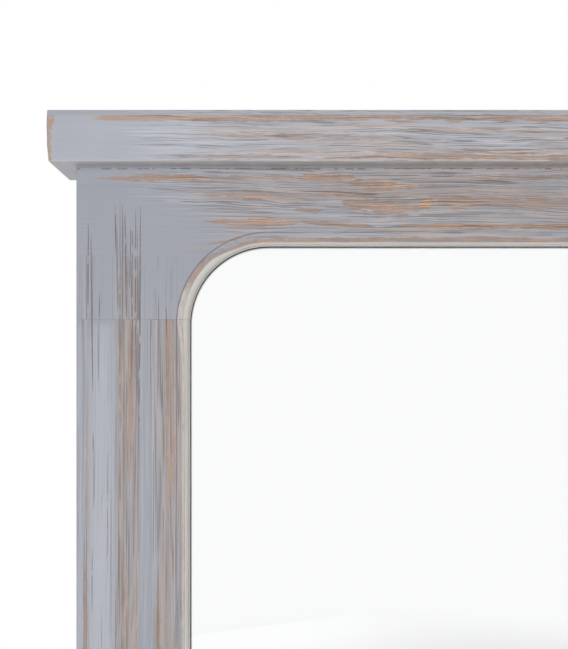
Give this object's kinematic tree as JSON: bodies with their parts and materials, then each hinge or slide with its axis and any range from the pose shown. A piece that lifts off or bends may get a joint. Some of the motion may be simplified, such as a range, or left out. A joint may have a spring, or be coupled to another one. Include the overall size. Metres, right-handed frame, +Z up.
{
  "type": "dressing mirror",
  "caption": "Landscape dresser or wall mirror in a distressed blue-grey painted wood frame with rounded upper corners and a flat overhanging crown board.",
  "frame": {"origin": "middle of the four threaded inserts, on the plane of the frame's back", "axes": "+X to the right seen from the front, +Y from the front to the back, +Z up"},
  "size_m": [1.118, 0.0565, 0.965],
  "materials": {
    "painted_wood": "blue-grey paint worn through to brown wood along the grain and the edges, satin",
    "bare_wood": "planed, unfinished",
    "hardboard": "smooth hardboard",
    "mirror": "clear float glass silvered on its back",
    "foam_tape": "closed-cell foam",
    "zinc_steel": "zinc-plated",
    "nickel_steel": "nickel-plated",
    "brass_insert": "machined brass"
  },
  "bodies": {
    "frame": {"crown_board": "painted_wood", "header_rail": "painted_wood", "corner_block_left": "painted_wood", "corner_block_right": "painted_wood", "stile_left": "painted_wood", "stile_right": "painted_wood", "bottom_rail": "painted_wood", "mirror_glass": "mirror", "glass_cushions": "foam_tape", "glazing_batten_top": "bare_wood", "glazing_batten_bottom": "bare_wood", "glazing_batten_left": "bare_wood", "glazing_batten_right": "bare_wood", "back_panel": "hardboard", "back_panel_screws": "zinc_steel", "crown_screws": "zinc_steel", "header_tenons": "bare_wood", "block_tenons": "bare_wood", "rail_tenons": "bare_wood", "support_inserts": "brass_insert", "hanger_strap_left": "nickel_steel", "hanger_strap_right": "nickel_steel", "hanger_screws": "zinc_steel"},
    "ring_left": {"hanger_ring_left": "nickel_steel"},
    "ring_right": {"hanger_ring_right": "nickel_steel"}
  },
  "joints": [
    {"name": "hanger_ring_left_swing", "type": "hinge", "parent": "frame", "child": "ring_left", "pos_m": [-0.509, 0.00325, 0.6155], "axis": [-1, 0, 0], "range_deg": [0, 180]},
    {"name": "hanger_ring_right_swing", "type": "hinge", "parent": "frame", "child": "ring_right", "pos_m": [0.509, 0.00325, 0.6155], "axis": [-1, 0, 0], "range_deg": [0, 180]}
  ]
}
